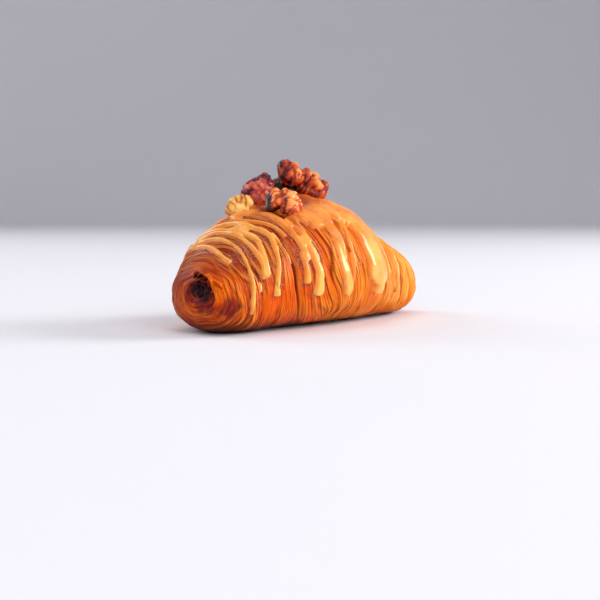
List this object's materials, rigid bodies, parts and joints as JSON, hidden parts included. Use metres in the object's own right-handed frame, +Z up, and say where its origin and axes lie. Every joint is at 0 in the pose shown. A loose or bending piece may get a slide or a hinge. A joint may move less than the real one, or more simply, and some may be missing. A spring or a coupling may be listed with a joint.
{
  "type": "croissant",
  "caption": "Straight-rolled laminated croissant that rests on its flat baked base, topped with poured caramel running down its sides and a cluster of candied pecans.",
  "frame": {"origin": "middle of the footprint, on the surface that the croissant rests on", "axes": "+X along the roll to its far, slimmer end; +Z up; -Y is the side that faces the viewer"},
  "size_m": [0.148, 0.0778, 0.0745],
  "materials": {
    "crust": "baked laminated dough, golden orange to mahogany, egg-washed",
    "caramel": "glossy opaque caramel glaze",
    "candied_pecan": "glossy sugared pecan, red-brown with tan ridges",
    "candied_pecan_dark": "glossy dark sugared pecan skin",
    "candied_pecan_pale": "pale pecan flesh under clear sugar"
  },
  "bodies": {
    "root": {"croissant_body": "crust", "caramel_glaze": "caramel", "pecan_half_top": "candied_pecan", "pecan_half_front": "candied_pecan", "pecan_half_back": "candied_pecan_dark", "pecan_piece_pale": "candied_pecan_pale", "pecan_piece_small": "candied_pecan_dark"}
  },
  "joints": []
}
